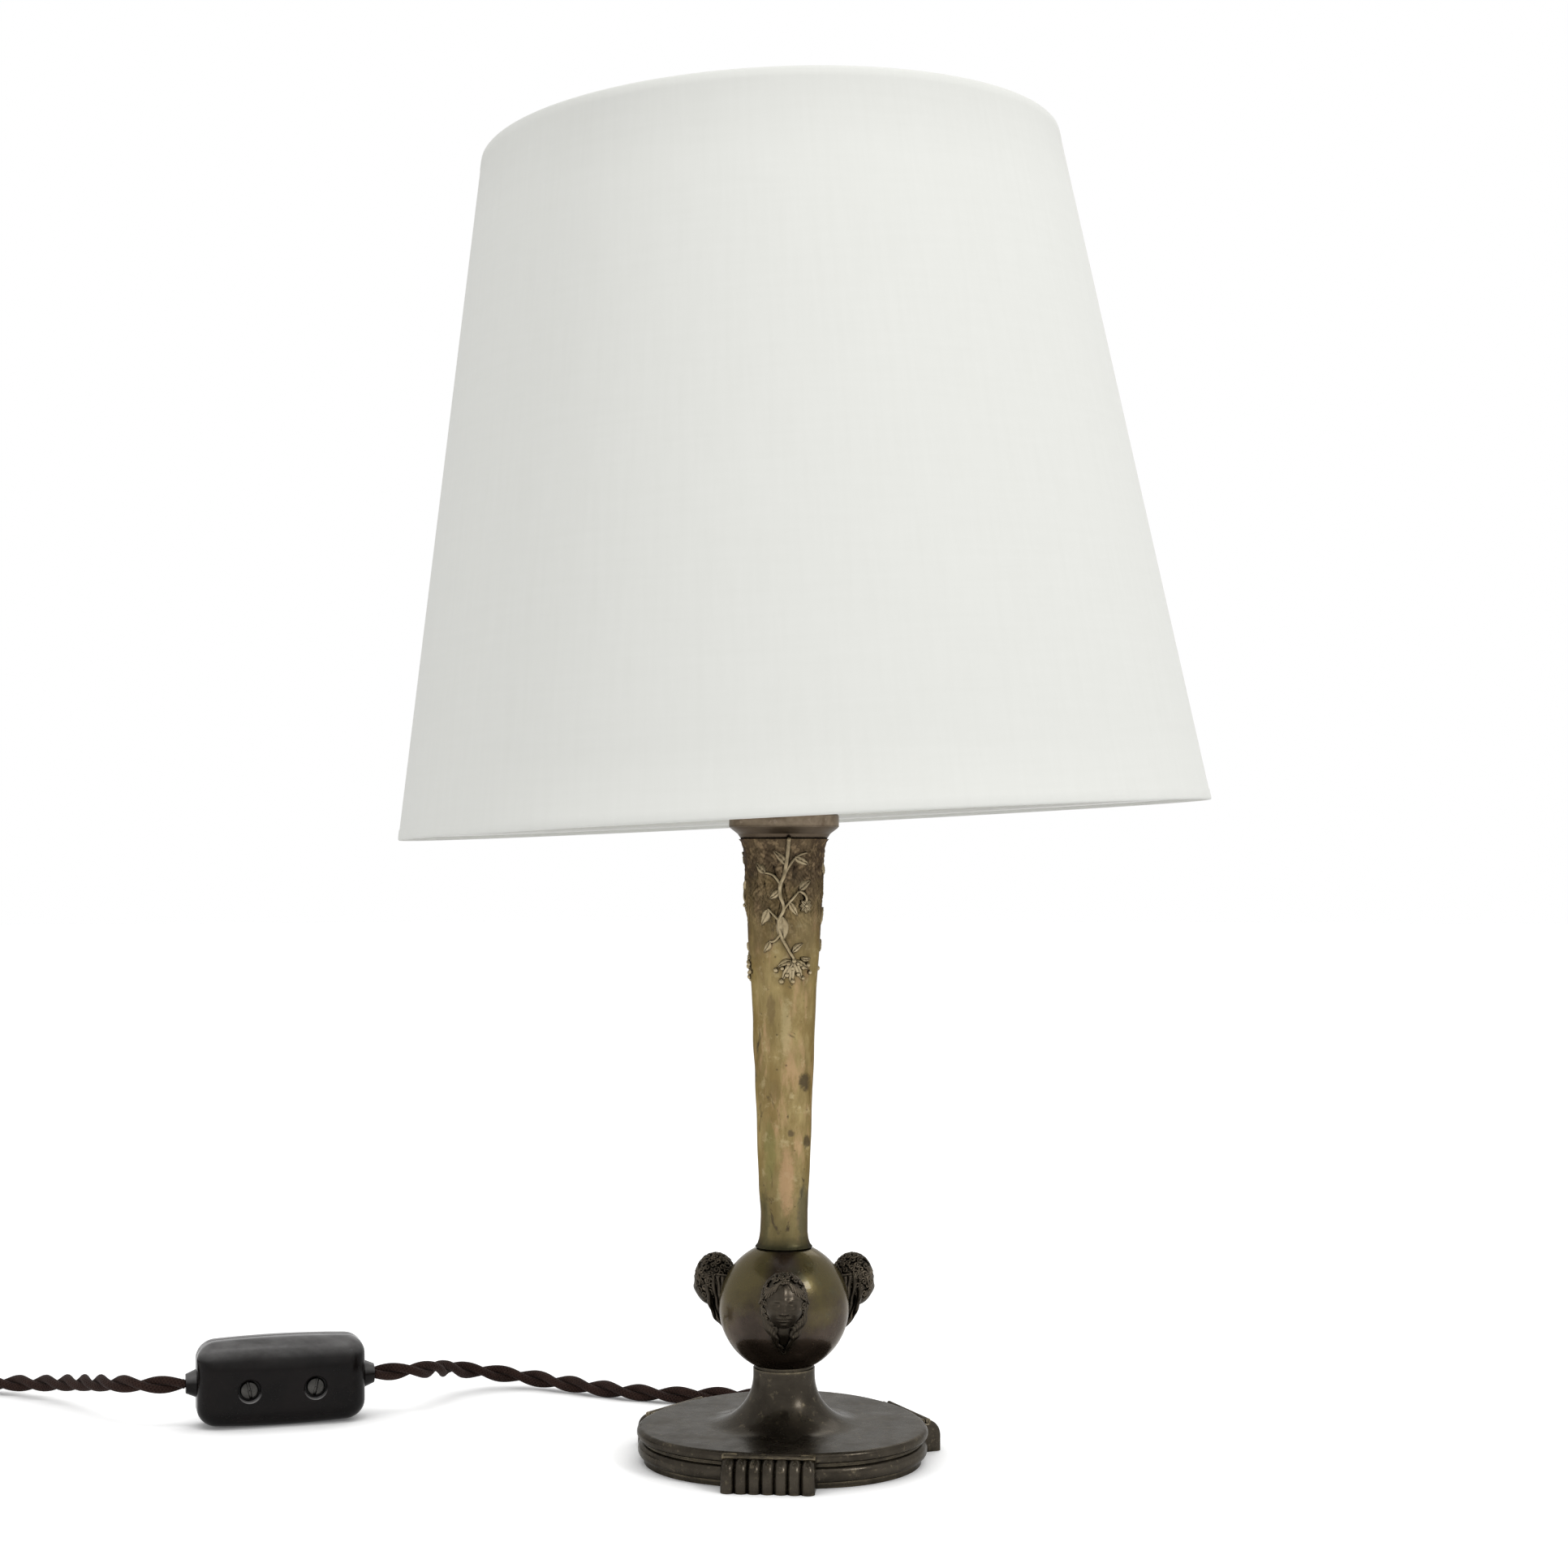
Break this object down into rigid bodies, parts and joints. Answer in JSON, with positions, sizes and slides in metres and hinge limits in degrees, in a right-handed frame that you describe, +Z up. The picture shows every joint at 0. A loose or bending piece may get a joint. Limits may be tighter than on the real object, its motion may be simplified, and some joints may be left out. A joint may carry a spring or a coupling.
{
  "type": "table lamp",
  "caption": "Table lamp: lobed bronze base on ribbed bracket feet, ball with mask heads, tapered column, clip-on fabric shade, twisted flex with inline switch and plug.",
  "frame": {"origin": "where the lamp's axis meets the table, under the middle of the base", "axes": "+Z up along the column, -Y towards the viewer, the flex leaves the back of the base at +Y and runs out towards -X"},
  "size_m": [0.5944, 0.3187, 0.4286],
  "materials": {
    "base_bronze": "dark patina, worn bright on the edges",
    "ball_bronze": "dark brown patina, polished by wear",
    "column_brass": "mottled olive patina",
    "holder_brass": "plain, satin",
    "fixing_steel": "bright",
    "porcelain": "unglazed",
    "contact_brass": "bright",
    "cap_aluminium": "bright",
    "black_glass": "gloss",
    "clear_glass": "clear",
    "filament_wire": "dull",
    "clip_wire": "lacquered",
    "shade_fabric": "fine weave, off-white",
    "switch_black": "gloss",
    "flex_textile": "braided cotton, dark brown",
    "plug_black": "fine matt"
  },
  "bodies": {
    "base": {"base_casting": "base_bronze", "foot_front": "base_bronze", "foot_right": "base_bronze", "foot_left": "base_bronze", "neck_ring": "ball_bronze", "ball": "ball_bronze", "head_front": "ball_bronze", "head_right": "ball_bronze", "head_left": "ball_bronze", "column": "column_brass", "rim_dish": "column_brass", "riser": "holder_brass", "holder_cap": "holder_brass", "holder_shell": "holder_brass", "foot_screws": "fixing_steel", "base_washer": "fixing_steel", "base_nut": "fixing_steel", "threaded_rod": "fixing_steel", "rim_nut": "fixing_steel", "holder_nut": "fixing_steel", "rocker_pin": "fixing_steel", "switch_screws": "fixing_steel", "holder_insert": "porcelain", "thread_shell": "contact_brass", "centre_contact": "contact_brass", "terminal_screws": "contact_brass", "switch_contacts": "contact_brass", "plug_pins": "contact_brass", "switch_front": "switch_black", "switch_rear": "switch_black", "switch_entry_right": "switch_black", "switch_entry_left": "switch_black", "flex_base_to_switch": "flex_textile", "flex_switch_to_coil": "flex_textile", "flex_coil": "flex_textile", "flex_coil_to_plug": "flex_textile", "inner_flex": "flex_textile", "plug_relief": "plug_black", "plug_body": "plug_black", "cord_bush": "plug_black"},
    "bulb_seat": {"bulb_button": "contact_brass"},
    "bulb": {"bulb_insulator": "black_glass", "bulb_cap": "cap_aluminium", "bulb_glass": "clear_glass", "bulb_stem": "clear_glass", "bulb_filament": "filament_wire"},
    "clip": {"clip_yoke": "clip_wire", "clip_loop_right": "clip_wire", "clip_loop_left": "clip_wire", "clip_post": "clip_wire", "finial_nut": "clip_wire"},
    "shade": {"shade_spider": "clip_wire", "shade_cover": "shade_fabric", "hem_upper": "shade_fabric", "hem_lower": "shade_fabric", "ring_lower": "clip_wire"},
    "rocker": {"switch_rocker": "switch_black"}
  },
  "joints": [
    {"name": "bulb_lift", "type": "slide", "parent": "base", "child": "bulb_seat", "axis": [0, 0, 1], "range_m": [0, 0.00726]},
    {"name": "bulb_turn", "type": "hinge", "parent": "bulb_seat", "child": "bulb", "pos_m": [0, 0, 0.26], "axis": [0, 0, 1], "range_deg": [0, 720]},
    {"name": "clip_tilt", "type": "hinge", "parent": "bulb", "child": "clip", "pos_m": [0, 0, 0.3374], "axis": [0, 1, 0], "range_deg": [-8, 8]},
    {"name": "shade_swivel", "type": "hinge", "parent": "clip", "child": "shade", "pos_m": [0, 0, 0.3374], "axis": [-0.0506, 0, 0.9987], "continuous": true},
    {"name": "switch_rocker", "type": "hinge", "parent": "base", "child": "rocker", "pos_m": [-0.17546, 0.05427, 0.015], "axis": [0, 0, 1], "range_deg": [0, 18]}
  ],
  "couplings": [
    {"joint": "bulb_turn", "follows": "bulb_lift", "rad_per_m": 1730.9}
  ]
}
